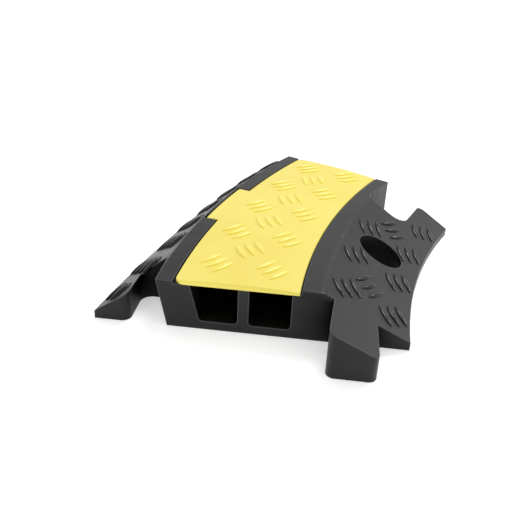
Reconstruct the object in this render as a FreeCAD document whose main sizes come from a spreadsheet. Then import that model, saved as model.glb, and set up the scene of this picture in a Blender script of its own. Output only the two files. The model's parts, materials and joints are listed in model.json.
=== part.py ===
import FreeCAD, Part
import math
import os
import Sketcher

# Curved section of a two-channel cable protector ramp: a rubber base with two
# cable channels, and a thin crowned lid that hinges on a steel rod along the
# outer side of the bend.
#
# Frame: +Z up, origin on the ground under the middle of the lid. +X points to
# the centre of the bend and +Y along the cables. Every section is drawn in a
# vertical plane through that centre, and the two ends mirror each other about
# Y = 0 apart from their connectors.

doc = FreeCAD.newDocument("cable_protector_ramp")

# ---------------------------------------------------------------- dimensions
SIZES = (
    ("bend_radius", 847.0, "centre of the bend to the middle of the lid"),
    ("end_angle", 14.0, "turn of each end face away from square, degrees"),
    ("end_x", 18.5, "end face crosses the middle of the lid here, X"),
    ("end_y", 176.8, "end face crosses the middle of the lid here, Y"),
    ("blank_angle", 40.0, "turn of the moulded profile before its ends are cut"),
    ("top_height", 50.0, "ground to the shoulders and the lid's edges"),
    ("toe_height", 8.5, "height of the blunt outer edges"),
    ("outer_toe", 124.8, "lid middle to the outer edge, halfway round the bend"),
    ("outer_toe_radius", 2400.0, "plan radius of that edge, flatter than the bend"),
    ("outer_blank", 150.0, "lid middle to the side of the uncut base"),
    ("plan_half", 260.0, "half length of the cuts along the outer side"),
    ("outer_shoulder", 76.8, "lid middle to the top of the outer slope"),
    ("inner_shoulder", 81.0, "lid middle to the top of the inner slope"),
    ("inner_toe", 164.3, "lid middle to the inner edge of the base"),
    ("outer_shoulder_round", 2.5, "rounding of the outer shoulder"),
    ("inner_shoulder_round", 14.0, "rounding of the inner shoulder"),
    ("toe_round", 1.2, "rounding along the blunt edges"),
    ("lid_half", 58.9, "half of the lid's width"),
    ("lid_thick", 3.0, "lid thickness at its edges"),
    ("lid_crown", 2.0, "rise of the lid's middle above its edges"),
    ("lid_corner", 9.0, "plan radius of the lid's outer corners"),
    ("lid_edge_round", 1.2, "rounding of the lid's top edges"),
    ("outer_gap", 1.3, "gap between the lid and the outer shoulder"),
    ("inner_gap", 1.6, "gap between the lid and the inner shoulder"),
    ("channel_floor", 9.0, "ground to the channel floors"),
    ("outer_channel_brim", 44.0, "outer channel wall at its top"),
    ("outer_channel_foot", 35.0, "outer channel wall at its foot"),
    ("divider_outer", 1.8, "outer face of the wall between the channels"),
    ("divider_inner", 12.2, "inner face of the wall between the channels"),
    ("inner_channel_edge", 52.2, "inner wall of the inner channel"),
    ("channel_round", 4.0, "rounding along the channel floors"),
    ("rib_round", 1.0, "rounding along the top of the middle wall"),
    ("cut_reach", 200.0, "how far the end cuts reach past the base"),
    ("outer_slot_near", 76.4, "outer slot: face beside the channels"),
    ("outer_slot_undercut", 10.0, "how far that face leans in at the ground"),
    ("outer_slot_far", 103.5, "outer slot: face beside the edge"),
    ("outer_slot_depth", 49.0, "outer slot: depth behind the end face"),
    ("outer_slot_round", 12.0, "outer slot: rounding of its inner corner"),
    ("outer_finger_round", 9.0, "rounding of the finger beside that slot"),
    ("inner_slot_near", 78.0, "inner slot: face beside the channels"),
    ("inner_slot_far", 131.0, "inner slot: face beside the edge, at its bottom"),
    ("inner_slot_mouth", 124.0, "inner slot: that face at the slot's mouth"),
    ("inner_slot_depth", 66.0, "inner slot: depth behind the end face"),
    ("inner_slot_round", 16.0, "inner slot: rounding of its corners"),
    ("inner_finger_round", 8.0, "rounding of the finger beside that slot"),
    ("brow_round", 7.0, "rounding of the near end's top edge, inner side"),
    ("inner_tab_root", 90.5, "inner tab: face beside the channels, at its root"),
    ("inner_tab_near", 87.0, "inner tab: that face at the tab's tip"),
    ("inner_tab_far", 132.5, "inner tab: face beside the edge"),
    ("inner_tab_reach", 54.5, "inner tab: length past the end face"),
    ("inner_tab_round", 8.0, "inner tab: plan radius of its corners"),
    ("outer_tab_near", 71.0, "outer tab: face beside the channels"),
    ("outer_tab_far", 100.0, "outer tab: face beside the edge"),
    ("outer_tab_reach", 40.0, "outer tab: length past the end face"),
    ("outer_tab_round", 6.0, "outer tab: plan radius of its corners"),
    ("outer_tab_height", 26.0, "outer tab: height of its flat top"),
    ("fixing_x", 120.5, "fixing hole: distance from the lid middle"),
    ("fixing_y", -6.5, "fixing hole: place along the cables"),
    ("fixing_radius", 24.0, "fixing hole radius"),
    ("rod_radius", 2.0, "hinge rod radius"),
    ("rod_grip", 20.0, "length of rod held in the rubber at each end"),
    ("rod_play", 0.08, "radial running clearance of the rod in the lid"),
    ("hinge_offset", 9.0, "lid edge to the hinge line"),
    ("hinge_height", 46.0, "ground to the hinge line"),
    ("barrel_radius", 3.8, "outer radius of the hinge barrel"),
    ("knuckle_half", 45.0, "half length of the hinge barrel"),
    ("tongue_reach", 14.0, "how far the hinge tongue stands out of the lid"),
    ("tongue_half_angle", 3.0, "half the arc that the tongue covers, degrees"),
    ("tongue_round", 2.5, "plan radius of the tongue's outer corners"),
    ("tongue_rim_round", 1.0, "rounding of the tongue's top edges"),
    ("notch_half", 49.0, "half length of the notch around the tongue"),
    ("notch_radius", 7.0, "radius of the notch around the hinge line"),
    ("notch_brim", 73.9, "outer edge of the notch at the top"),
    ("notch_inner", 57.0, "inner edge of the notch, under the lid"),
)

sheet = doc.addObject("Spreadsheet::Sheet", "Sizes")
for row, (alias, value, note) in enumerate(SIZES, start=1):
    sheet.set(f"A{row}", note)
    sheet.set(f"B{row}", str(value))
    sheet.setAlias(f"B{row}", alias)
doc.recompute()


def size(formula):
    """Number that a formula over the sheet's aliases gives."""
    value = sheet.evalExpression(formula)
    return float(getattr(value, "Value", value))


# ------------------------------------------------------------ small helpers
def origin_plane(body, role):
    for feature in body.Origin.OriginFeatures:
        if feature.Role == role:
            return feature
    raise ValueError(role)


def new_sketch(body, name, plane, offsets=None, turn=None):
    """Sketch on an origin plane, shifted and turned by formulas."""
    sketch = body.newObject("Sketcher::SketchObject", name)
    sketch.AttachmentSupport = [(origin_plane(body, plane), "")]
    sketch.MapMode = "FlatFace"
    axis = turn[0] if turn else FreeCAD.Vector(0, 0, 1)
    angle = size(turn[1]) if turn else 0.0
    sketch.AttachmentOffset = FreeCAD.Placement(FreeCAD.Vector(), FreeCAD.Rotation(axis, angle))
    for letter, formula in (offsets or {}).items():
        sketch.setExpression(f".AttachmentOffset.Base.{letter}", formula)
    if turn:
        sketch.setExpression(".AttachmentOffset.Rotation.Angle", turn[1])
    return sketch


def hold_corner(sketch, index, formulas):
    """Ties the start of line number index to two formulas."""
    for kind, axis, formula in zip(("DistanceX", "DistanceY"), (-2, -1), formulas):
        if formula == "0":
            sketch.addConstraint(Sketcher.Constraint("PointOnObject", index, 1, axis))
        else:
            rule = Sketcher.Constraint(kind, index, 1, size(formula))
            number = sketch.addConstraint(rule)
            sketch.setExpression(f"Constraints[{number}]", formula)


def outline(sketch, corners, arcs=None):
    """Closed outline through corners given as pairs of formulas. arcs maps a
    side's number to the rise formula of the arc that replaces its line."""
    arcs = arcs or {}
    points = [FreeCAD.Vector(size(x), size(y), 0) for x, y in corners]
    count = len(points)
    for side, start in enumerate(points):
        end = points[(side + 1) % count]
        if side in arcs:
            middle = (start + end) * 0.5 + FreeCAD.Vector(0, size(arcs[side]), 0)
            sketch.addGeometry(Part.Arc(start, middle, end), False)
        else:
            sketch.addGeometry(Part.LineSegment(start, end), False)
    # an arc drawn through three points may run either way round
    ends = []
    for side, start in enumerate(points):
        first = sketch.getPoint(side, 1).distanceToPoint(start) < 1e-6
        ends.append((1, 2) if first else (2, 1))
    for side in range(count):
        after = (side + 1) % count
        join = Sketcher.Constraint("Coincident", side, ends[side][1], after, ends[after][0])
        sketch.addConstraint(join)
    for side, formulas in enumerate(corners):
        if side in arcs:
            half = f"({corners[(side + 1) % count][0]} - ({formulas[0]})) / 2"
            rise = arcs[side]
            radius = f"(({half})^2 + ({rise})^2) / (2 * ({rise}))"
            number = sketch.addConstraint(Sketcher.Constraint("Radius", side, size(radius)))
            sketch.setExpression(f"Constraints[{number}]", radius)
            before = (side - 1) % count
            hold_point(sketch, before, ends[before][1], formulas)
        else:
            hold_corner(sketch, side, formulas)


def hold_point(sketch, index, end, formulas):
    """Ties one end of line number index to two formulas."""
    for kind, formula in zip(("DistanceX", "DistanceY"), formulas):
        number = sketch.addConstraint(Sketcher.Constraint(kind, index, end, size(formula)))
        sketch.setExpression(f"Constraints[{number}]", formula)


def circle(sketch, centre, radius):
    """Circle with its centre and radius given as formulas."""
    point = FreeCAD.Vector(size(centre[0]), size(centre[1]), 0)
    index = sketch.addGeometry(Part.Circle(point, FreeCAD.Vector(0, 0, 1), size(radius)), False)
    number = sketch.addConstraint(Sketcher.Constraint("Radius", index, size(radius)))
    sketch.setExpression(f"Constraints[{number}]", radius)
    for kind, axis, formula in zip(("DistanceX", "DistanceY"), (-2, -1), centre):
        if formula == "0":
            sketch.addConstraint(Sketcher.Constraint("PointOnObject", index, 3, axis))
        else:
            rule = Sketcher.Constraint(kind, index, 3, size(formula))
            number = sketch.addConstraint(rule)
            sketch.setExpression(f"Constraints[{number}]", formula)


def settle(body, feature, grows=None):
    """Recomputes and checks that a feature worked, and which way it went."""
    before = 0.0 if body.Shape.isNull() else body.Shape.Volume
    body.Tip = feature
    doc.recompute()
    if {"Invalid", "Error"} & set(feature.State):
        raise RuntimeError(f"{feature.Name} failed")
    change = body.Shape.Volume - before
    if grows is True and change <= 0 or grows is False and change >= 0:
        raise RuntimeError(f"{feature.Name} changed the volume by {change:.1f}")
    return feature


def revolve(body, name, sketch, angle):
    """Turns a sketch about its own vertical axis, half to each side."""
    feature = body.newObject("PartDesign::Revolution", name)
    feature.Profile = sketch
    feature.ReferenceAxis = (sketch, ["V_Axis"])
    feature.Midplane = True
    feature.setExpression("Angle", angle)
    return settle(body, feature, grows=True)


def pocket(body, name, sketch, depth=None, both=False, reverse=False):
    """Cuts a sketch: through everything, or to a depth formula."""
    feature = body.newObject("PartDesign::Pocket", name)
    feature.Profile = sketch
    feature.SideType = "Symmetric" if both else "One side"
    feature.Reversed = reverse
    if depth is None:
        feature.Type = "ThroughAll"
    else:
        feature.Type = "Length"
        feature.setExpression("Length", depth)
    return settle(body, feature, grows=False)


def fillet(body, name, test, radius):
    """Rounds every edge of the body that passes a test."""
    solid = body.Tip
    names = [f"Edge{i}" for i, edge in enumerate(solid.Shape.Edges, start=1) if test(edge)]
    if not names:
        raise RuntimeError(f"{name} finds no edge")
    feature = body.newObject("PartDesign::Fillet", name)
    feature.Base = (solid, names)
    feature.setExpression("Radius", radius)
    return settle(body, feature)


def middle_edge(x, z):
    """Test for the edge whose middle lies at x and z, halfway round the bend."""
    def test(edge):
        middle = edge.valueAt((edge.FirstParameter + edge.LastParameter) / 2)
        return math.dist(middle, (size(x), 0, size(z))) < 0.2

    return test


def bend_edges(*places):
    """Test for edges that run round the bend at the given (x, z) places."""
    wanted = [(size("bend_radius") - size(x), size(z)) for x, z in places]

    def test(edge):
        if not isinstance(edge.Curve, Part.Circle) or abs(edge.Curve.Axis.z) < 0.99:
            return False
        if abs(edge.Curve.Center.x - size("bend_radius")) > 0.01:
            return False
        seat = (edge.Curve.Radius, edge.Curve.Center.z)
        return any(math.dist(seat, place) < 0.05 for place in wanted)

    return test


def end_point(side, across, out):
    """World X and Y of a place given by its distance along an end face and
    its distance past it; side is -1 at the near end and 1 at the far end."""
    turn = math.radians(size("end_angle"))
    x = size("end_x") + across * math.cos(turn) + out * math.sin(turn)
    y = size("end_y") - across * math.sin(turn) + out * math.cos(turn)
    return x, side * y


def upright_edges(*places):
    """Test for upright edges at the given (side, across, out) places."""
    wanted = [end_point(side, size(across), size(out)) for side, across, out in places]

    def test(edge):
        if not isinstance(edge.Curve, Part.Line) or abs(edge.Curve.Direction.z) < 0.999:
            return False
        spot = edge.Vertexes[0].Point
        return any(math.dist((spot.x, spot.y), place) < 0.05 for place in wanted)

    return test


def brow_edges(side, low, high):
    """Test for the top edges of an end face between two places across it."""
    def test(edge):
        spots = [vertex.Point for vertex in edge.Vertexes]
        origin = end_point(side, 0, 0)
        along = [part - start for part, start in zip(end_point(side, 1, 0), origin)]
        out = [part - start for part, start in zip(end_point(side, 0, 1), origin)]
        for spot in spots:
            gap = (spot.x - origin[0], spot.y - origin[1])
            across = gap[0] * along[0] + gap[1] * along[1]
            past = gap[0] * out[0] + gap[1] * out[1]
            if abs(past) > 0.01 or spot.z < size("top_height") / 2:
                return False
            if across < size(low) - 0.1 or across > size(high) + 0.1:
                return False
        return len(spots) > 1 and math.dist(*[(spot.x, spot.y) for spot in spots]) > 0.1

    return test


Z_AXIS = FreeCAD.Vector(0, 0, 1)
Y_AXIS = FreeCAD.Vector(0, 1, 0)


def end_sketch(body, name, side):
    """Plan sketch whose x axis lies along an end face. Its y axis points into
    the base at the near end and out of it at the far end."""
    offsets = {"x": "Sizes.end_x", "y": "Sizes.end_y" if side > 0 else "-Sizes.end_y"}
    turn = "-Sizes.end_angle" if side > 0 else "Sizes.end_angle"
    return new_sketch(body, name, "XY_Plane", offsets, (Z_AXIS, turn))


def cut_end(body, name, side, slot, tab):
    """Cuts an end to its face, leaving a tab out and taking a slot in. Each is
    given as its kind, its two sides at the end face, then at its own end, and
    its length."""
    out = "" if side > 0 else "-"
    back = "-" if side > 0 else ""
    reach = "Sizes.cut_reach"
    corners = [(f"-{reach}", "0")]
    for kind, *sides, length in sorted((slot, tab), key=lambda item: size(item[1])):
        deep = f"{out}{length}" if kind == "tab" else f"{back}{length}"
        corners += [(sides[0], "0"), (sides[2], deep), (sides[3], deep), (sides[1], "0")]
    corners += [(reach, "0"), (reach, f"{out}{reach}"), (f"-{reach}", f"{out}{reach}")]
    sketch = end_sketch(body, name + "_outline", side)
    outline(sketch, corners)
    return pocket(body, name, sketch, reverse=True)


# ----------------------------------------------------------------- the base
def section_corners():
    """Profile of the base, from the outer edge over the top to the inner one."""
    places = (
        ("-Sizes.outer_blank", "0"),
        ("-Sizes.outer_blank", "Sizes.top_height"),
        ("-(Sizes.lid_half + Sizes.outer_gap)", "Sizes.top_height"),
        ("-(Sizes.lid_half + Sizes.outer_gap)", "Sizes.top_height - Sizes.lid_thick"),
        ("-Sizes.outer_channel_brim", "Sizes.top_height - Sizes.lid_thick"),
        ("-Sizes.outer_channel_foot", "Sizes.channel_floor"),
        ("Sizes.divider_outer", "Sizes.channel_floor"),
        ("Sizes.divider_outer", "Sizes.top_height - Sizes.lid_thick"),
        ("Sizes.divider_inner", "Sizes.top_height - Sizes.lid_thick"),
        ("Sizes.divider_inner", "Sizes.channel_floor"),
        ("Sizes.inner_channel_edge", "Sizes.channel_floor"),
        ("Sizes.inner_channel_edge", "Sizes.top_height - Sizes.lid_thick"),
        ("Sizes.lid_half + Sizes.inner_gap", "Sizes.top_height - Sizes.lid_thick"),
        ("Sizes.lid_half + Sizes.inner_gap", "Sizes.top_height"),
        ("Sizes.inner_shoulder", "Sizes.top_height"),
        ("Sizes.inner_toe", "Sizes.toe_height"),
        ("Sizes.inner_toe", "0"),
    )
    return [(f"{x} - Sizes.bend_radius", z) for x, z in places]


def side_sketch(body, name, height, reach, radius):
    """Plan outline of what lies outside an arc along the outer side. Its x
    axis runs along the cables and its y axis away from the bend's centre."""
    half = "Sizes.plan_half"
    rise = f"({radius} - sqrt(({radius})^2 - {half}^2))"
    sketch = new_sketch(body, name, "XY_Plane", {"z": height}, (Z_AXIS, "90"))
    edge = f"{reach} - {rise}"
    outline(sketch, ((f"-{half}", edge), (half, edge),
                     (half, "Sizes.outer_blank + Sizes.outer_toe"),
                     (f"-{half}", "Sizes.outer_blank + Sizes.outer_toe")),
            arcs={0: rise})
    return sketch


def cut_outer_side(base):
    """Cuts the outer side: upright at the toe, and a ruled slope above it."""
    toe = ("Sizes.outer_toe", "Sizes.outer_toe_radius")
    shoulder = ("Sizes.outer_shoulder", "Sizes.bend_radius + Sizes.outer_shoulder")
    pocket(base, "outer_side", side_sketch(base, "outer_side_outline", "0", *toe), reverse=True)
    foot = side_sketch(base, "outer_slope_foot", "Sizes.toe_height", *toe)
    head = side_sketch(base, "outer_slope_head", "Sizes.top_height", *shoulder)
    slope = base.newObject("PartDesign::SubtractiveLoft", "outer_slope")
    slope.Profile = foot
    slope.Sections = [head]
    slope.Ruled = True
    settle(base, slope, grows=False)


def make_base():
    base = doc.addObject("PartDesign::Body", "RampBase")
    base.Label = "ramp_base"

    section = new_sketch(base, "base_section", "XZ_Plane", {"x": "Sizes.bend_radius"})
    outline(section, section_corners())
    revolve(base, "base_profile", section, "Sizes.blank_angle")
    cut_outer_side(base)

    top = "Sizes.top_height"
    ledge = "Sizes.top_height - Sizes.lid_thick"
    floor = "Sizes.channel_floor"
    fillet(base, "inner_shoulder_fillet",
           bend_edges(("Sizes.inner_shoulder", top)), "Sizes.inner_shoulder_round")
    fillet(base, "outer_shoulder_fillet",
           middle_edge("-Sizes.outer_shoulder", top), "Sizes.outer_shoulder_round")
    fillet(base, "outer_toe_fillet",
           middle_edge("-Sizes.outer_toe", "Sizes.toe_height"), "Sizes.toe_round")
    fillet(base, "inner_toe_fillet",
           bend_edges(("Sizes.inner_toe", "Sizes.toe_height")), "Sizes.toe_round")
    fillet(base, "channel_fillet",
           bend_edges(("-Sizes.outer_channel_foot", floor), ("Sizes.divider_outer", floor),
                      ("Sizes.divider_inner", floor), ("Sizes.inner_channel_edge", floor)),
           "Sizes.channel_round")
    fillet(base, "divider_fillet",
           bend_edges(("Sizes.divider_outer", ledge), ("Sizes.divider_inner", ledge)),
           "Sizes.rib_round")

    cut_end(base, "near_end", -1,
            ("slot", "-Sizes.outer_slot_far", "-Sizes.outer_slot_near",
             "-Sizes.outer_slot_far", "-Sizes.outer_slot_near", "Sizes.outer_slot_depth"),
            ("tab", "Sizes.inner_tab_root", "Sizes.inner_tab_far",
             "Sizes.inner_tab_near", "Sizes.inner_tab_far", "Sizes.inner_tab_reach"))
    cut_end(base, "far_end", 1,
            ("slot", "Sizes.inner_slot_near", "Sizes.inner_slot_mouth",
             "Sizes.inner_slot_near", "Sizes.inner_slot_far", "Sizes.inner_slot_depth"),
            ("tab", "-Sizes.outer_tab_far", "-Sizes.outer_tab_near",
             "-Sizes.outer_tab_far", "-Sizes.outer_tab_near", "Sizes.outer_tab_reach"))

    fillet(base, "inner_tab_fillet",
           upright_edges((-1, "Sizes.inner_tab_near", "Sizes.inner_tab_reach"),
                         (-1, "Sizes.inner_tab_far", "Sizes.inner_tab_reach")),
           "Sizes.inner_tab_round")
    fillet(base, "outer_slot_fillet",
           upright_edges((-1, "-Sizes.outer_slot_far", "-Sizes.outer_slot_depth")),
           "Sizes.outer_slot_round")
    fillet(base, "outer_finger_fillet",
           upright_edges((-1, "-Sizes.outer_slot_far", "0")), "Sizes.outer_finger_round")
    fillet(base, "inner_slot_fillet",
           upright_edges((1, "Sizes.inner_slot_near", "-Sizes.inner_slot_depth"),
                         (1, "Sizes.inner_slot_far", "-Sizes.inner_slot_depth")),
           "Sizes.inner_slot_round")
    fillet(base, "inner_finger_fillet",
           upright_edges((1, "Sizes.inner_slot_mouth", "0")), "Sizes.inner_finger_round")
    fillet(base, "outer_tab_fillet",
           upright_edges((1, "-Sizes.outer_tab_near", "Sizes.outer_tab_reach"),
                         (1, "-Sizes.outer_tab_far", "Sizes.outer_tab_reach")),
           "Sizes.outer_tab_round")

    # the near end's top edge is rounded from the lid to the inner tab
    gap = "Sizes.lid_half + Sizes.inner_gap"
    fillet(base, "brow_fillet", brow_edges(-1, gap, "Sizes.inner_tab_root"),
           "Sizes.brow_round")

    # the outer tab is low and flat on top
    tab_top = end_sketch(base, "outer_tab_top", 1)
    tab_top.setExpression(".AttachmentOffset.Base.z", "Sizes.outer_tab_height")
    outline(tab_top, (("-Sizes.outer_toe", "0"), ("-Sizes.lid_half", "0"),
                      ("-Sizes.lid_half", "2 * Sizes.outer_tab_reach"),
                      ("-Sizes.outer_toe", "2 * Sizes.outer_tab_reach")))
    pocket(base, "outer_tab_cut", tab_top, reverse=True)

    # the face of the outer slot beside the channels leans in towards the ground
    lean = new_sketch(base, "slot_lean", "XZ_Plane",
                      {"x": "Sizes.end_x", "z": "Sizes.end_y"},
                      (Y_AXIS, "Sizes.end_angle"))
    outline(lean, (("-Sizes.outer_slot_far + Sizes.outer_slot_round", "0"),
                   ("-Sizes.outer_slot_near + Sizes.outer_slot_undercut", "0"),
                   ("-Sizes.outer_slot_near", "Sizes.top_height"),
                   ("-Sizes.outer_slot_far + Sizes.outer_slot_round", "Sizes.top_height")))
    pocket(base, "outer_slot_lean", lean, "Sizes.outer_slot_depth", reverse=False)

    # upright hole for a ground fixing, through the inner slope
    fixing = new_sketch(base, "fixing_outline", "XY_Plane")
    circle(fixing, ("Sizes.fixing_x", "Sizes.fixing_y"), "Sizes.fixing_radius")
    pocket(base, "fixing_hole", fixing, reverse=True)

    # notch for the hinge tongue, and the trough that its barrel turns in
    brim = new_sketch(base, "notch_outline", "XY_Plane", {"z": "Sizes.hinge_height"})
    outline(brim, (("-Sizes.notch_brim", "-Sizes.notch_half"),
                   ("-Sizes.notch_inner", "-Sizes.notch_half"),
                   ("-Sizes.notch_inner", "Sizes.notch_half"),
                   ("-Sizes.notch_brim", "Sizes.notch_half")))
    pocket(base, "notch", brim, reverse=True)
    hinge = ("-(Sizes.lid_half + Sizes.hinge_offset)", "Sizes.hinge_height")
    trough = new_sketch(base, "trough_outline", "XZ_Plane")
    circle(trough, hinge, "Sizes.notch_radius")
    pocket(base, "trough", trough, "2 * Sizes.notch_half", both=True)
    bores = new_sketch(base, "rod_bore_outline", "XZ_Plane")
    circle(bores, hinge, "Sizes.rod_radius")
    pocket(base, "rod_bores", bores, "2 * (Sizes.notch_half + Sizes.rod_grip)", both=True)
    return base


# ------------------------------------------------------------------ the lid
def make_lid():
    lid = doc.addObject("PartDesign::Body", "Lid")
    lid.Label = "lid"
    ledge = "Sizes.top_height - Sizes.lid_thick"

    plate = new_sketch(lid, "lid_section", "XZ_Plane", {"x": "Sizes.bend_radius"})
    outline(plate, (("-Sizes.lid_half - Sizes.bend_radius", ledge),
                    ("-Sizes.lid_half - Sizes.bend_radius", "Sizes.top_height"),
                    ("Sizes.lid_half - Sizes.bend_radius", "Sizes.top_height"),
                    ("Sizes.lid_half - Sizes.bend_radius", ledge)),
            arcs={1: "Sizes.lid_crown"})
    revolve(lid, "lid_plate", plate, "Sizes.blank_angle")

    for side, name in ((-1, "near"), (1, "far")):
        out = "" if side > 0 else "-"
        reach = "Sizes.cut_reach"
        sketch = end_sketch(lid, f"lid_{name}_outline", side)
        outline(sketch, ((f"-{reach}", "0"), (reach, "0"),
                         (reach, f"{out}{reach}"), (f"-{reach}", f"{out}{reach}")))
        pocket(lid, f"lid_{name}_end", sketch, reverse=True)

    def outer_corner(edge):
        if not isinstance(edge.Curve, Part.Line) or abs(edge.Curve.Direction.z) < 0.999:
            return False
        spot = edge.Vertexes[0].Point
        return math.hypot(spot.x - size("bend_radius"), spot.y) > size("bend_radius")

    fillet(lid, "lid_corner_fillet", outer_corner, "Sizes.lid_corner")

    def top_rim(edge):
        return edge.BoundBox.ZMin > size("top_height") - 0.01

    fillet(lid, "lid_rim_fillet", top_rim, "Sizes.lid_edge_round")

    tongue = new_sketch(lid, "tongue_section", "XZ_Plane", {"x": "Sizes.bend_radius"})
    root = "-Sizes.lid_half + Sizes.lid_thick - Sizes.bend_radius"
    tip = "-Sizes.lid_half - Sizes.tongue_reach - Sizes.bend_radius"
    outline(tongue, ((tip, ledge), (tip, "Sizes.top_height"),
                     (root, "Sizes.top_height"), (root, ledge)))
    revolve(lid, "tongue", tongue, "2 * Sizes.tongue_half_angle")

    def tongue_corner(edge):
        if not isinstance(edge.Curve, Part.Line) or abs(edge.Curve.Direction.z) < 0.999:
            return False
        spot = edge.Vertexes[0].Point
        reach = math.hypot(spot.x - size("bend_radius"), spot.y) - size("bend_radius")
        return abs(reach - size("Sizes.lid_half + Sizes.tongue_reach")) < 0.01

    fillet(lid, "tongue_corner_fillet", tongue_corner, "Sizes.tongue_round")

    def tongue_rim(edge):
        if edge.BoundBox.ZMin < size("top_height") - 0.01 or len(edge.Vertexes) < 2:
            return False
        middle = edge.valueAt((edge.FirstParameter + edge.LastParameter) / 2)
        reach = math.hypot(middle.x - size("bend_radius"), middle.y) - size("bend_radius")
        return reach > size("lid_half") + 0.5

    fillet(lid, "tongue_rim_fillet", tongue_rim, "Sizes.tongue_rim_round")

    hinge = ("-(Sizes.lid_half + Sizes.hinge_offset)", "Sizes.hinge_height")
    barrel = new_sketch(lid, "barrel_outline", "XZ_Plane")
    circle(barrel, hinge, "Sizes.barrel_radius")
    knuckle = lid.newObject("PartDesign::Pad", "hinge_barrel")
    knuckle.Profile = barrel
    knuckle.SideType = "Symmetric"
    knuckle.setExpression("Length", "2 * Sizes.knuckle_half")
    settle(lid, knuckle, grows=True)
    bore = new_sketch(lid, "barrel_bore_outline", "XZ_Plane")
    circle(bore, hinge, "Sizes.rod_radius + Sizes.rod_play")
    pocket(lid, "barrel_bore", bore, "2 * Sizes.notch_half", both=True)
    return lid


# ----------------------------------------------------------------- the rod
def make_rod():
    rod = doc.addObject("Part::Cylinder", "HingeRod")
    rod.Label = "hinge_rod"
    rod.setExpression("Radius", "Sizes.rod_radius")
    rod.setExpression("Height", "2 * (Sizes.notch_half + Sizes.rod_grip)")
    rod.Placement.Rotation = FreeCAD.Rotation(FreeCAD.Vector(1, 0, 0), -90)
    rod.setExpression(".Placement.Base.x", "-(Sizes.lid_half + Sizes.hinge_offset)")
    rod.setExpression(".Placement.Base.y", "-(Sizes.notch_half + Sizes.rod_grip)")
    rod.setExpression(".Placement.Base.z", "Sizes.hinge_height")
    return rod


parts = [make_base(), make_lid(), make_rod()]
doc.recompute()

for item in doc.Objects:
    if {"Invalid", "Error"} & set(item.State):
        raise RuntimeError(f"{item.Name} is {item.State}")

os.makedirs("parts", exist_ok=True)
for part in parts:
    if part.Shape.isNull() or not part.Shape.isValid():
        raise RuntimeError(f"{part.Label} has no valid shape")
    part.Shape.exportStep(os.path.join("parts", part.Label + ".step"))
    box = part.Shape.BoundBox
    print(f"{part.Label}: {part.Shape.Volume / 1000:.1f} cm3, solids {len(part.Shape.Solids)}, "
          f"X {box.XMin:.1f} to {box.XMax:.1f}, Y {box.YMin:.1f} to {box.YMax:.1f}, "
          f"Z {box.ZMin:.1f} to {box.ZMax:.1f}")
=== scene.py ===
"""Looks of the curved cable ramp section, laid out as a Blender add-on.

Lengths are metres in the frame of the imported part: +Z up, +X towards the
centre of the bend, +Y along the cables, origin under the middle of the lid.
"""

import json
import math

import bpy
from bpy.props import FloatProperty, FloatVectorProperty, IntProperty, PointerProperty
from mathutils import Matrix, Vector


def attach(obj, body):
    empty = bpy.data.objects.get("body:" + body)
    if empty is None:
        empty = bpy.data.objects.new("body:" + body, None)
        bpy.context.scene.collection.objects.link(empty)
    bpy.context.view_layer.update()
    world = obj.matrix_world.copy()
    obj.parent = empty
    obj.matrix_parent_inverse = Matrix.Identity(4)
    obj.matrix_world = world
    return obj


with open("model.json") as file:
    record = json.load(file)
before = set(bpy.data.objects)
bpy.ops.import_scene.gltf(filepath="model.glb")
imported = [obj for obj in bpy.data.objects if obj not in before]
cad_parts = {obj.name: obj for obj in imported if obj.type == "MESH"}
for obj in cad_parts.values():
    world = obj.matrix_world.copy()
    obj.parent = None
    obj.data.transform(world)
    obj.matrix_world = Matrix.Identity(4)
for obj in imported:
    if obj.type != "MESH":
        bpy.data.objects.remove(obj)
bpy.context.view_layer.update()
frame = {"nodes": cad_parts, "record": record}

bl_info = {
    "name": "Curved cable ramp",
    "version": (1, 0, 0),
    "blender": (4, 5, 0),
    "location": "3D View > Sidebar > Cable Ramp",
    "description": "Finishes a curved cable ramp: moulded rubber, lid plastic and bar tread",
    "category": "Object",
}

DROP_HEIGHT = 0.2    # bars are dropped from here, above every surface of the part
PAINTED_HOLLOW_SHADE = (0.0010, 0.0015, 0.0015, 1.0)    # painted shade: near black for the rubber deep in a channel or a hole
LID_EDGE_HIGHLIGHT = (0.98, 0.86, 0.30, 1.0)    # painted highlight along the lid's edges
STAIN_COLOUR = (0.28, 0.27, 0.25, 1.0)    # stained patches on the steel rod
WHITE = (1.0, 1.0, 1.0, 1.0)


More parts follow.
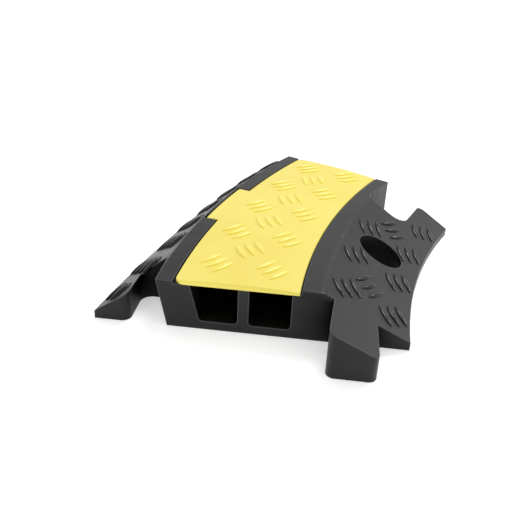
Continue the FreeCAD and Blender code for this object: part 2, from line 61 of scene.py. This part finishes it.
# ------------------------------------------------------------- properties
class RampTreadSizes(bpy.types.PropertyGroup):
    """Sizes of the raised bars that keep wheels and shoes from slipping."""

    bend_radius: FloatProperty(
        name="Bend radius", description="Centre of the bend to the middle of the lid",
        default=0.847, unit="LENGTH")
    bars: IntProperty(name="Bars", description="Bars in one group", default=3, min=1)
    bar_length: FloatProperty(
        name="Bar length", description="Length of one bar, tip to tip",
        default=0.0300, unit="LENGTH")
    bar_width: FloatProperty(
        name="Bar width", description="Width of one bar at its middle",
        default=0.0068, unit="LENGTH")
    lid_bar_height: FloatProperty(
        name="Lid bar height", description="How far the lid's bars stand proud",
        default=0.0021, unit="LENGTH")
    slope_bar_height: FloatProperty(
        name="Inner slope bar height", description="How far the inner slope's bars stand proud",
        default=0.0020, unit="LENGTH")
    outer_bar_height: FloatProperty(
        name="Outer slope bar height", description="How far the outer slope's bars stand proud",
        default=0.0030, unit="LENGTH")
    outer_bars: IntProperty(
        name="Outer bars", description="Bars in one group on the outer slope", default=4, min=1)
    bar_step: FloatProperty(
        name="Bar step", description="Distance from bar to bar, along each axis of the bend",
        default=0.0078, unit="LENGTH")
    bar_turn: FloatProperty(
        name="Bar turn", description="Angle between a bar and the line of the cables",
        default=math.radians(34), subtype="ANGLE")
    lid_pitch: FloatProperty(
        name="Lid pitch", description="Angle of the bend from group to group on the lid",
        default=math.radians(4.9), subtype="ANGLE")
    slope_pitch: FloatProperty(
        name="Inner slope pitch", description="Angle from group to group on the inner slope",
        default=math.radians(5.6), subtype="ANGLE")
    outer_pitch: FloatProperty(
        name="Outer slope pitch", description="Angle from group to group on the outer slope",
        default=math.radians(3.25), subtype="ANGLE")
    hole_clearance: FloatProperty(
        name="Hole clearance", description="No group stands nearer than this to the fixing hole",
        default=0.030, unit="LENGTH")


class RampFinish(bpy.types.PropertyGroup):
    """Colours and surface detail of the mouldings."""

    rubber_colour: FloatVectorProperty(
        name="Rubber", description="Colour of the base",
        default=(0.0058, 0.0062, 0.0055), subtype="COLOR", size=3, min=0, max=1)
    dust_colour: FloatVectorProperty(
        name="Rubber bloom", description="Paler film in patches and specks on the rubber",
        default=(0.020, 0.021, 0.019), subtype="COLOR", size=3, min=0, max=1)
    # painted highlight: greyer colour laid along the rubber's sharp edges
    edge_highlight_colour: FloatVectorProperty(
        name="Rubbed rubber", description="Greyer colour where the rubber's edges are rubbed",
        default=(0.130, 0.135, 0.140), subtype="COLOR", size=3, min=0, max=1)
    lid_colour: FloatVectorProperty(
        name="Lid", description="Colour of the lid",
        default=(0.86, 0.73, 0.125), subtype="COLOR", size=3, min=0, max=1)
    lid_shade: FloatVectorProperty(
        name="Lid shade", description="Deeper yellow between the flow marks of the lid",
        default=(0.82, 0.67, 0.100), subtype="COLOR", size=3, min=0, max=1)
    rod_colour: FloatVectorProperty(
        name="Rod", description="Colour of the steel hinge rod",
        default=(0.56, 0.57, 0.58), subtype="COLOR", size=3, min=0, max=1)
    edge_round: FloatProperty(
        name="Edge rounding", description="Moulded rounding that the shading gives sharp edges",
        default=0.0018, unit="LENGTH")


class RampStage(bpy.types.PropertyGroup):
    """Camera, floor and lights."""

    aim: FloatVectorProperty(
        name="Aim", description="Point that the camera looks at",
        default=(-0.0054, -0.0649, 0.0250), subtype="TRANSLATION", size=3)
    azimuth: FloatProperty(
        name="Azimuth", description="Camera's turn about the upright axis",
        default=math.radians(20.15), subtype="ANGLE")
    elevation: FloatProperty(
        name="Elevation", description="Camera's height above the horizon",
        default=math.radians(27.60), subtype="ANGLE")
    roll: FloatProperty(
        name="Roll", description="Camera's turn about its own line of sight",
        default=math.radians(2.475), subtype="ANGLE")
    distance: FloatProperty(
        name="Distance", description="Camera to the point it looks at",
        default=0.7123, unit="LENGTH")
    lens: FloatProperty(
        name="Lens", description="Focal length in millimetres", default=46.06)
    floor_size: FloatProperty(
        name="Floor", description="Side of the floor", default=12.0, unit="LENGTH")
    sky: FloatProperty(
        name="Sky", description="Strength of the even light from all round", default=0.86)
    key_power: FloatProperty(
        name="Key power", description="Power of the wide light behind the part, in watts",
        default=11.0)
    rim_power: FloatProperty(
        name="Rim power", description="Power of the small light behind its inner side, in watts",
        default=4.5)


# ------------------------------------------------------------ node helpers
class Tree:
    """Adds nodes to a tree and links them in one call each."""

    def __init__(self, tree):
        self.tree = tree

    def add(self, kind, inputs=None, **settings):
        node = self.tree.nodes.new(kind)
        for name, value in settings.items():
            setattr(node, name, value)
        for name, value in (inputs or {}).items():
            self.feed(node.inputs[name], value)
        return node

    def feed(self, socket, value):
        if isinstance(value, bpy.types.NodeSocket):
            self.tree.links.new(value, socket)
        else:
            socket.default_value = value

    def math(self, operation, *values):
        node = self.tree.nodes.new("ShaderNodeMath")
        node.operation = operation
        for socket, value in zip(node.inputs, values):
            self.feed(socket, value)
        return node.outputs[0]

    def noise(self, place, scale, detail=2.0, roughness=0.5, distortion=0.0):
        node = self.add("ShaderNodeTexNoise", {
            "Vector": place, "Scale": scale, "Detail": detail,
            "Roughness": roughness, "Distortion": distortion})
        return node.outputs["Fac"]

    def spread(self, value, low, high, first, last):
        """Value taken from the range low to high over to the range first to last."""
        node = self.add("ShaderNodeMapRange", {
            "Value": value, "From Min": low, "From Max": high, "To Min": first, "To Max": last})
        return node.outputs[0]

    def ramp(self, value, low, high):
        return self.spread(value, low, high, 0.0, 1.0)

    def mix_colour(self, factor, first, second):
        node = self.add("ShaderNodeMix", data_type="RGBA")
        self.feed(node.inputs[0], factor)
        self.feed(node.inputs[6], first)
        self.feed(node.inputs[7], second)
        return node.outputs[2]


def rgba(colour):
    return (*colour, 1.0)


def new_material(name):
    """Empty material with a principled shader: (material, tree, shader)."""
    material = bpy.data.materials.new(name)
    material.use_nodes = True
    tree = Tree(material.node_tree)
    shader = material.node_tree.nodes["Principled BSDF"]
    return material, tree, shader


def edge_mask(tree, radius):
    """1 at sharp edges of the moulding and 0 away from them."""
    bevel = tree.add("ShaderNodeBevel", {"Radius": radius}, samples=8)
    true_normal = tree.add("ShaderNodeNewGeometry").outputs["Normal"]
    dot = tree.add("ShaderNodeVectorMath", operation="DOT_PRODUCT")
    tree.feed(dot.inputs[0], bevel.outputs["Normal"])
    tree.feed(dot.inputs[1], true_normal)
    return tree.ramp(dot.outputs["Value"], 0.990, 0.87), bevel.outputs["Normal"]


def open_sky(tree, distance):
    """1 out in the open, falling to 0 in deep hollows."""
    return tree.add("ShaderNodeAmbientOcclusion", {"Distance": distance},
                    samples=8, only_local=True).outputs["AO"]


def rubber_material(finish, name, smoothest, roughest):
    """Black rubber with bloom and specks, a painted highlight along its edges, and painted shade
    in its hollows.
    """
    material, tree, shader = new_material(name)
    place = tree.add("ShaderNodeTexCoord").outputs["Object"]
    edges, soft_normal = edge_mask(tree, finish.edge_round)

    cloud = tree.noise(place, 14.0, 4.0, 0.6)
    speck = tree.noise(place, 900.0, 2.0, 0.6)
    bloom = tree.math("MULTIPLY", tree.ramp(cloud, 0.40, 0.72), 0.35)
    bloom = tree.math("ADD", bloom, tree.math("MULTIPLY", tree.ramp(speck, 0.55, 0.85), 0.25))
    colour = tree.mix_colour(bloom, rgba(finish.rubber_colour), rgba(finish.dust_colour))
    # painted highlight along the rubber's sharp edges, through the bevel mask
    wear_and_edge_highlight = tree.math("MULTIPLY", edges, 0.75)
    colour = tree.mix_colour(wear_and_edge_highlight, colour, rgba(finish.edge_highlight_colour))
    # painted shade: colour and reflection fade to near black where hollows hide the sky
    light = open_sky(tree, 0.08)
    shadowed = tree.mix_colour(tree.ramp(light, 0.40, 0.85), PAINTED_HOLLOW_SHADE, colour)
    tree.feed(shader.inputs["Base Color"], shadowed)
    tree.feed(shader.inputs["Specular IOR Level"],
              tree.math("MULTIPLY", tree.ramp(light, 0.40, 0.95), 0.28))

    smudge = tree.noise(place, 38.0, 5.0, 0.65, 0.6)
    tree.feed(shader.inputs["Roughness"], tree.spread(smudge, 0.25, 0.75, smoothest, roughest))

    grain = tree.noise(place, 1600.0, 3.0, 0.6)
    flow = tree.noise(place, 60.0, 3.0, 0.5, 1.0)
    height = tree.math("ADD", tree.math("MULTIPLY", grain, 0.25), tree.math("MULTIPLY", flow, 1.0))
    bump = tree.add("ShaderNodeBump", {
        "Strength": 0.35, "Distance": 0.0006, "Height": height, "Normal": soft_normal})
    tree.feed(shader.inputs["Normal"], bump.outputs[0])
    return material


def lid_material(finish):
    """Yellow moulded plastic with faint flow marks and a painted highlight along its edges."""
    material, tree, shader = new_material("lid_plastic")
    place = tree.add("ShaderNodeTexCoord").outputs["Object"]
    edges, soft_normal = edge_mask(tree, finish.edge_round / 3)

    cloud = tree.noise(place, 11.0, 3.0, 0.55, 0.8)
    colour = tree.mix_colour(tree.ramp(cloud, 0.35, 0.70),
                             rgba(finish.lid_colour), rgba(finish.lid_shade))
    # painted highlight: paler yellow along the lid's sharp edges
    pale = tree.math("MULTIPLY", edges, 0.35)
    colour = tree.mix_colour(pale, colour, LID_EDGE_HIGHLIGHT)
    tree.feed(shader.inputs["Base Color"], colour)

    smudge = tree.noise(place, 45.0, 4.0, 0.6, 0.5)
    tree.feed(shader.inputs["Roughness"], tree.spread(smudge, 0.25, 0.75, 0.28, 0.42))

    peel = tree.noise(place, 700.0, 2.0, 0.5)
    wave = tree.noise(place, 26.0, 2.0, 0.5)
    height = tree.math("ADD", tree.math("MULTIPLY", peel, 0.12), wave)
    bump = tree.add("ShaderNodeBump", {
        "Strength": 0.20, "Distance": 0.0005, "Height": height, "Normal": soft_normal})
    tree.feed(shader.inputs["Normal"], bump.outputs[0])
    return material


def rod_material(finish):
    """Steel with fine lines along the rod and a little staining."""
    material, tree, shader = new_material("drawn_steel")
    shader.inputs["Metallic"].default_value = 1.0
    place = tree.add("ShaderNodeTexCoord").outputs["Object"]
    drawn = tree.add("ShaderNodeMapping", {"Vector": place, "Scale": (1.0, 0.02, 1.0)})
    lines = tree.noise(drawn.outputs[0], 2200.0, 3.0, 0.6)
    stain = tree.noise(place, 90.0, 4.0, 0.6)
    colour = tree.mix_colour(tree.math("MULTIPLY", tree.ramp(stain, 0.45, 0.8), 0.4),
                             rgba(finish.rod_colour), STAIN_COLOUR)
    tree.feed(shader.inputs["Base Color"], colour)
    tree.feed(shader.inputs["Roughness"], tree.spread(lines, 0.0, 1.0, 0.25, 0.45))
    bump = tree.add("ShaderNodeBump", {"Strength": 0.15, "Distance": 0.0001, "Height": lines})
    tree.feed(shader.inputs["Normal"], bump.outputs[0])
    return material


def floor_material():
    """Pale floor, lit a little from within so that shadows on it stay soft."""
    material, tree, shader = new_material("pale_floor")
    place = tree.add("ShaderNodeTexCoord").outputs["Object"]
    tone = tree.noise(place, 3.0, 2.0)
    tree.feed(shader.inputs["Base Color"],
              tree.mix_colour(tone, (0.93, 0.93, 0.93, 1.0), (0.90, 0.90, 0.90, 1.0)))
    shader.inputs["Roughness"].default_value = 0.9
    shader.inputs["Specular IOR Level"].default_value = 0.2
    shader.inputs["Emission Color"].default_value = WHITE
    shader.inputs["Emission Strength"].default_value = 0.38
    return material


def dress(node, material):
    """Gives a carried-over CAD node its material."""
    mesh = frame["nodes"][node].data
    mesh.materials.clear()
    mesh.materials.append(material)


# ------------------------------------------------------------- tread trees
def tree_input(tree, name, kind, default=None):
    socket = tree.interface.new_socket(name=name, in_out="INPUT", socket_type="NodeSocket" + kind)
    if default is not None:
        socket.default_value = default
    return socket


def bar_shape(net, source):
    """One lens-shaped bar along Y, from a ball whose rings narrow to its tips."""
    ball = net.add("GeometryNodeMeshUVSphere", {"Segments": 16, "Rings": 12, "Radius": 1.0})
    place = net.add("GeometryNodeInputPosition").outputs[0]
    split = net.add("ShaderNodeSeparateXYZ", {"Vector": place}).outputs
    inside = net.math("SUBTRACT", 1.0, net.math("MULTIPLY", split["Z"], split["Z"]))
    pinch = net.math("POWER", net.math("MAXIMUM", inside, 0.0), 0.35)
    half_width = net.math("MULTIPLY", source["Bar Width"], 0.5)
    across = net.math("MULTIPLY", net.math("MULTIPLY", split["Y"], half_width), pinch)
    along = net.math("MULTIPLY", split["Z"], net.math("MULTIPLY", source["Bar Length"], 0.5))
    up = net.math("MULTIPLY", split["X"], source["Bar Height"])
    shaped = net.add("ShaderNodeCombineXYZ", {"X": across, "Y": along, "Z": up})
    moved = net.add("GeometryNodeSetPosition", {
        "Geometry": ball.outputs["Mesh"], "Position": shaped.outputs[0]})
    return moved.outputs[0]


def tread_tree():
    """Tree that adds one row of bar groups to a surface, round the bend."""
    tree = bpy.data.node_groups.new("bar_tread_row", "GeometryNodeTree")
    tree.interface.new_socket(name="Geometry", in_out="INPUT", socket_type="NodeSocketGeometry")
    tree_input(tree, "Surface", "Object")
    tree_input(tree, "Finish", "Material")
    tree_input(tree, "Bend Radius", "Float", 0.847)
    tree_input(tree, "Row Distance", "Float", 0.0)
    tree_input(tree, "First Angle", "Float", 0.0)
    tree_input(tree, "Pitch Angle", "Float", 0.1)
    tree_input(tree, "Groups", "Int", 1)
    tree_input(tree, "Bars", "Int", 3)
    tree_input(tree, "Bar Step", "Float", 0.008)
    tree_input(tree, "Bar Turn", "Float", 0.6)
    tree_input(tree, "Bar Length", "Float", 0.03)
    tree_input(tree, "Bar Width", "Float", 0.006)
    tree_input(tree, "Bar Height", "Float", 0.0015)
    tree_input(tree, "Hole Centre", "Vector", (0.0, 0.0, 0.0))
    tree_input(tree, "Hole Clearance", "Float", 0.0)
    tree.interface.new_socket(name="Geometry", in_out="OUTPUT", socket_type="NodeSocketGeometry")

    net = Tree(tree)
    source = net.add("NodeGroupInput").outputs

    # every bar is one point: its number gives its group and its place in it
    total = net.math("MULTIPLY", source["Groups"], source["Bars"])
    line = net.add("GeometryNodeMeshLine", {"Count": total}, mode="OFFSET")
    number = net.add("GeometryNodeInputIndex").outputs[0]
    group = net.math("FLOOR", net.math("DIVIDE", number, source["Bars"]))
    member = net.math("SUBTRACT", number, net.math("MULTIPLY", group, source["Bars"]))
    middle = net.math("MULTIPLY", net.math("SUBTRACT", source["Bars"], 1.0), 0.5)
    offset = net.math("MULTIPLY", net.math("SUBTRACT", member, middle), source["Bar Step"])

    # a group's own axes: inwards along X and back along the cables
    side = net.math("SIGN", source["Bar Turn"])
    group_angle = net.math("ADD", source["First Angle"],
                           net.math("MULTIPLY", group, source["Pitch Angle"]))
    radius = net.math("SUBTRACT", net.math("SUBTRACT", source["Bend Radius"],
                                           source["Row Distance"]), offset)
    shift = net.math("DIVIDE", net.math("MULTIPLY", offset, side), radius)
    angle = net.math("SUBTRACT", group_angle, shift)
    centre_x = source["Bend Radius"]
    spot_x = net.math("SUBTRACT", centre_x,
                      net.math("MULTIPLY", radius, net.math("COSINE", angle)))
    spot_y = net.math("MULTIPLY", radius, net.math("SINE", angle))
    above = net.add("ShaderNodeCombineXYZ", {
        "X": spot_x, "Y": spot_y, "Z": DROP_HEIGHT})
    points = net.add("GeometryNodeSetPosition", {
        "Geometry": line.outputs[0], "Position": above.outputs[0]}).outputs[0]

    # bars of a group that would stand over the fixing hole are left out
    group_radius = net.math("SUBTRACT", source["Bend Radius"], source["Row Distance"])
    group_x = net.math("SUBTRACT", centre_x,
                       net.math("MULTIPLY", group_radius, net.math("COSINE", group_angle)))
    group_y = net.math("MULTIPLY", group_radius, net.math("SINE", group_angle))
    group_spot = net.add("ShaderNodeCombineXYZ", {"X": group_x, "Y": group_y})
    flat_hole = net.add("ShaderNodeVectorMath", operation="MULTIPLY")
    net.feed(flat_hole.inputs[0], source["Hole Centre"])
    net.feed(flat_hole.inputs[1], (1.0, 1.0, 0.0))
    gap = net.add("ShaderNodeVectorMath", operation="DISTANCE")
    net.feed(gap.inputs[0], group_spot.outputs[0])
    net.feed(gap.inputs[1], flat_hole.outputs[0])
    over_hole = net.math("LESS_THAN", gap.outputs["Value"], source["Hole Clearance"])

    # each bar drops onto the surface and lies on it, if both its tips have
    # some surface under them
    body = net.add("GeometryNodeObjectInfo", {"Object": source["Surface"]})
    heading = net.math("ADD", source["Bar Turn"], angle)
    along = net.add("ShaderNodeCombineXYZ", {
        "X": net.math("SINE", heading), "Y": net.math("COSINE", heading)})

    def cast_down(place):
        return net.add("GeometryNodeRaycast", {
            "Target Geometry": body.outputs["Geometry"], "Source Position": place,
            "Ray Direction": (0.0, 0.0, -1.0), "Ray Length": 1.0})

    spot = net.add("GeometryNodeInputPosition").outputs[0]
    cast = cast_down(spot)
    landed_tips = []
    for way in (-0.5, 0.5):
        reach = net.add("ShaderNodeVectorMath", operation="SCALE")
        net.feed(reach.inputs[0], along.outputs[0])
        net.feed(reach.inputs["Scale"], net.math("MULTIPLY", source["Bar Length"], way))
        tip = net.add("ShaderNodeVectorMath", operation="ADD")
        net.feed(tip.inputs[0], spot)
        net.feed(tip.inputs[1], reach.outputs[0])
        landed_tips.append(cast_down(tip.outputs[0]).outputs["Is Hit"])
    both_tips = net.math("MINIMUM", *landed_tips)
    missed = net.math("SUBTRACT", 1.0, net.math("MINIMUM", both_tips, cast.outputs["Is Hit"]))
    lie = net.add("FunctionNodeAxesToRotation", {
        "Primary Axis": cast.outputs["Hit Normal"], "Secondary Axis": along.outputs[0]},
        primary_axis="Z", secondary_axis="Y")
    turned = net.add("GeometryNodeStoreNamedAttribute", {
        "Geometry": points, "Name": "lie", "Value": lie.outputs[0]}, data_type="QUATERNION")
    kept = net.add("GeometryNodeDeleteGeometry", {
        "Geometry": turned.outputs[0], "Selection": net.math("MAXIMUM", over_hole, missed)},
        domain="POINT")
    landed = net.add("GeometryNodeSetPosition", {
        "Geometry": kept.outputs[0], "Position": cast.outputs["Hit Position"]})
    stored = net.add("GeometryNodeInputNamedAttribute", {"Name": "lie"}, data_type="QUATERNION")
    bars = net.add("GeometryNodeInstanceOnPoints", {
        "Points": landed.outputs[0], "Instance": bar_shape(net, source),
        "Rotation": stored.outputs["Attribute"]})

    solid = net.add("GeometryNodeRealizeInstances", {"Geometry": bars.outputs[0]})
    joined = net.add("GeometryNodeJoinGeometry")
    net.tree.links.new(source["Geometry"], joined.inputs[0])
    net.tree.links.new(solid.outputs[0], joined.inputs[0])
    smooth = net.add("GeometryNodeSetShadeSmooth", {"Geometry": joined.outputs[0]})
    finish = net.add("GeometryNodeSetMaterial", {
        "Geometry": smooth.outputs[0], "Material": source["Finish"]})
    sink = net.add("NodeGroupOutput")
    net.tree.links.new(finish.outputs[0], sink.inputs[0])
    return tree


def fill_inputs(modifier, values):
    """Sets a geometry nodes modifier's inputs, found by name, through their identifiers."""
    sockets = {item.name: item.identifier for item in modifier.node_group.interface.items_tree
               if item.item_type == "SOCKET" and item.in_out == "INPUT"}
    for name, value in values.items():
        modifier[sockets[name]] = value


# Rows of bar groups: distance from the lid's middle, angle of the first group,
# number of groups, and which way the bars turn.
LID_ROWS = (
    (0.0280, math.radians(-9.40), 5, 1),
    (-0.0030, math.radians(-7.05), 4, -1),
    (-0.0275, math.radians(-9.45), 5, 1),
)
INNER_SLOPE_ROWS = (
    (0.1470, math.radians(-9.25), 4, -1),
    (0.1205, math.radians(-6.95), 3, 1),
    (0.1000, math.radians(-9.10), 3, -1),
)
OUTER_SLOPE_ROWS = (
    (-0.0985, math.radians(-5.40), 6, 1),
    (-0.1090, math.radians(-8.30), 1, 1),
    (-0.1210, math.radians(-11.0), 1, 1),
)


def make_tread(name, body, surface, plans, material):
    """Raised bars on one body: a row for each modifier, then one plain mesh.
    Each plan gives some rows and their pitch, bars in a group and bar height."""
    sizes = bpy.context.scene.ramp_tread_sizes
    tree = bpy.data.node_groups.get("bar_tread_row") or tread_tree()
    seed = bpy.data.objects.new(name + "_rows", bpy.data.meshes.new(name + "_rows"))
    bpy.context.scene.collection.objects.link(seed)
    hole = hole_centre()
    rows = [(*row, *plan) for rows, *plan in plans for row in rows]
    for number, (distance, first, groups, side, pitch, bars, height) in enumerate(rows):
        modifier = seed.modifiers.new(f"row_{number + 1}", "NODES")
        modifier.node_group = tree
        fill_inputs(modifier, {
            "Surface": surface,
            "Finish": material,
            "Bend Radius": sizes.bend_radius,
            "Row Distance": distance,
            "First Angle": first,
            "Pitch Angle": pitch,
            "Groups": groups,
            "Bars": bars,
            "Bar Step": sizes.bar_step,
            "Bar Turn": side * sizes.bar_turn,
            "Bar Length": sizes.bar_length,
            "Bar Width": sizes.bar_width,
            "Bar Height": height,
            "Hole Centre": hole,
            "Hole Clearance": sizes.hole_clearance,
        })
    bpy.context.view_layer.update()
    shown = seed.evaluated_get(bpy.context.evaluated_depsgraph_get())
    mesh = bpy.data.meshes.new_from_object(shown)
    mesh.name = name
    for attribute in [item for item in mesh.attributes if item.name == "lie"]:
        mesh.attributes.remove(attribute)
    bpy.data.objects.remove(seed)
    piece = bpy.data.objects.new(name, mesh)
    bpy.context.scene.collection.objects.link(piece)
    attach(piece, body)
    return piece


def hole_centre():
    """Middle of the ground fixing hole, from the part's own mounts."""
    for mount in frame["record"]["mounts"]:
        if mount["kind"] == "bore":
            return Vector(mount["pos_m"])
    raise RuntimeError("the part has no bore mount")


def finished(name):
    """Material that an earlier step made."""
    material = bpy.data.materials.get(name)
    if material is None:
        raise RuntimeError(f"the {name} finish isn't made yet")
    return material


# -------------------------------------------------------------- operators
class RAMP_OT_base(bpy.types.Operator):
    """Gives the base its moulded rubber"""

    bl_idname = "ramp.base"
    bl_label = "Rubber Base"

    def execute(self, context):
        finish = context.scene.ramp_finish
        dress("ramp_base", rubber_material(finish, "moulded_rubber", 0.30, 0.46))
        return {"FINISHED"}


class RAMP_OT_lid(bpy.types.Operator):
    """Gives the lid its yellow plastic"""

    bl_idname = "ramp.lid"
    bl_label = "Lid"

    def execute(self, context):
        dress("lid", lid_material(context.scene.ramp_finish))
        return {"FINISHED"}


class RAMP_OT_rod(bpy.types.Operator):
    """Gives the hinge rod its drawn steel"""

    bl_idname = "ramp.rod"
    bl_label = "Hinge Rod"

    def execute(self, context):
        dress("hinge_rod", rod_material(context.scene.ramp_finish))
        return {"FINISHED"}


class RAMP_OT_lid_tread(bpy.types.Operator):
    """Makes the raised bars on the lid"""

    bl_idname = "ramp.lid_tread"
    bl_label = "Lid Tread"

    def execute(self, context):
        sizes = context.scene.ramp_tread_sizes
        plans = [(LID_ROWS, sizes.lid_pitch, sizes.bars, sizes.lid_bar_height)]
        piece = make_tread("lid_tread", "lid", frame["nodes"]["lid"], plans,
                           finished("lid_plastic"))
        return {"FINISHED"}


class RAMP_OT_slope_tread(bpy.types.Operator):
    """Makes the raised bars on both slopes of the base"""

    bl_idname = "ramp.slope_tread"
    bl_label = "Slope Tread"

    def execute(self, context):
        sizes = context.scene.ramp_tread_sizes
        plans = [
            (INNER_SLOPE_ROWS, sizes.slope_pitch, sizes.bars, sizes.slope_bar_height),
            (OUTER_SLOPE_ROWS, sizes.outer_pitch, sizes.outer_bars, sizes.outer_bar_height)]
        # glossier bar rubber, carrying the same painted edge highlight and painted hollow shade
        wear_and_edge_highlight = rubber_material(context.scene.ramp_finish, "worn_tread_rubber", 0.13, 0.24)
        piece = make_tread("slope_tread", "base", frame["nodes"]["ramp_base"], plans, wear_and_edge_highlight)
        return {"FINISHED"}


class RAMP_OT_stage(bpy.types.Operator):
    """Adds the camera, the pale floor and the soft studio light"""

    bl_idname = "ramp.stage"
    bl_label = "Stage"

    def execute(self, context):
        stage = context.scene.ramp_stage
        add_camera(context.scene, stage)
        add_floor(context.scene, stage)
        add_lights(context.scene, stage)
        return {"FINISHED"}


def add_camera(scene, stage):
    data = bpy.data.cameras.new("camera")
    data.lens = stage.lens
    data.sensor_width = 36.0
    data.clip_start = 0.01
    camera = bpy.data.objects.new("camera", data)
    scene.collection.objects.link(camera)
    flat = math.cos(stage.elevation)
    back = Vector((math.sin(stage.azimuth) * flat, -math.cos(stage.azimuth) * flat,
                   math.sin(stage.elevation)))
    level = (-back).to_track_quat("-Z", "Y").to_matrix()
    turn = level @ Matrix.Rotation(stage.roll, 3, "Z")
    seat = Vector(stage.aim) + back * stage.distance
    camera.matrix_world = Matrix.Translation(seat) @ turn.to_4x4()
    scene.camera = camera


def add_floor(scene, stage):
    half = stage.floor_size / 2
    mesh = bpy.data.meshes.new("floor")
    mesh.from_pydata([(-half, -half, 0), (half, -half, 0), (half, half, 0), (-half, half, 0)],
                     [], [(0, 1, 2, 3)])
    mesh.materials.append(floor_material())
    floor = bpy.data.objects.new("floor", mesh)
    scene.collection.objects.link(floor)


def add_lights(scene, stage):
    world = bpy.data.worlds.new("studio")
    world.use_nodes = True
    sky = world.node_tree.nodes["Background"]
    sky.inputs["Color"].default_value = WHITE
    sky.inputs["Strength"].default_value = stage.sky
    scene.world = world
    scene.view_settings.view_transform = "Standard"
    for name, place, size, power in (
            ("key", (0.15, 1.15, 1.65), 0.60, stage.key_power),
            ("rim", (0.95, 1.15, 1.00), 0.30, stage.rim_power)):
        data = bpy.data.lights.new(name, "AREA")
        data.shape = "DISK"
        data.size = size
        data.energy = power
        light = bpy.data.objects.new(name, data)
        scene.collection.objects.link(light)
        light.location = place
        light.rotation_mode = "QUATERNION"
        light.rotation_quaternion = (-Vector(place)).to_track_quat("-Z", "Y")


class RAMP_PT_panel(bpy.types.Panel):
    """Lists the steps that finish the ramp, in order"""

    bl_idname = "RAMP_PT_panel"
    bl_label = "Cable Ramp"
    bl_space_type = "VIEW_3D"
    bl_region_type = "UI"
    bl_category = "Cable Ramp"

    def draw(self, context):
        for step in STEPS:
            self.layout.operator(step.bl_idname)
        for group in ("ramp_finish", "ramp_tread_sizes", "ramp_stage"):
            box = self.layout.box()
            settings = getattr(context.scene, group)
            for name in settings.bl_rna.properties.keys():
                if name not in {"rna_type", "name"}:
                    box.prop(settings, name)


STEPS = (RAMP_OT_base, RAMP_OT_lid, RAMP_OT_rod, RAMP_OT_lid_tread, RAMP_OT_slope_tread,
         RAMP_OT_stage)
GROUPS = (("ramp_tread_sizes", RampTreadSizes), ("ramp_finish", RampFinish),
          ("ramp_stage", RampStage))


def register():
    for name, group in GROUPS:
        bpy.utils.register_class(group)
        setattr(bpy.types.Scene, name, PointerProperty(type=group))
    for kind in (*STEPS, RAMP_PT_panel):
        bpy.utils.register_class(kind)


def unregister():
    for kind in (RAMP_PT_panel, *reversed(STEPS)):
        bpy.utils.unregister_class(kind)
    for name, group in reversed(GROUPS):
        delattr(bpy.types.Scene, name)
        bpy.utils.unregister_class(group)


def clear_start_scene():
    """Takes away the cube, lamp and camera that a new file starts with."""
    for name in ("Cube", "Light", "Camera"):
        thing = bpy.data.objects.get(name)
        if thing is not None:
            bpy.data.objects.remove(thing)


def main():
    clear_start_scene()
    register()
    bpy.ops.ramp.base()
    bpy.ops.ramp.lid()
    bpy.ops.ramp.rod()
    bpy.ops.ramp.lid_tread()
    bpy.ops.ramp.slope_tread()
    bpy.ops.ramp.stage()


if __name__ == "__main__":
    main()
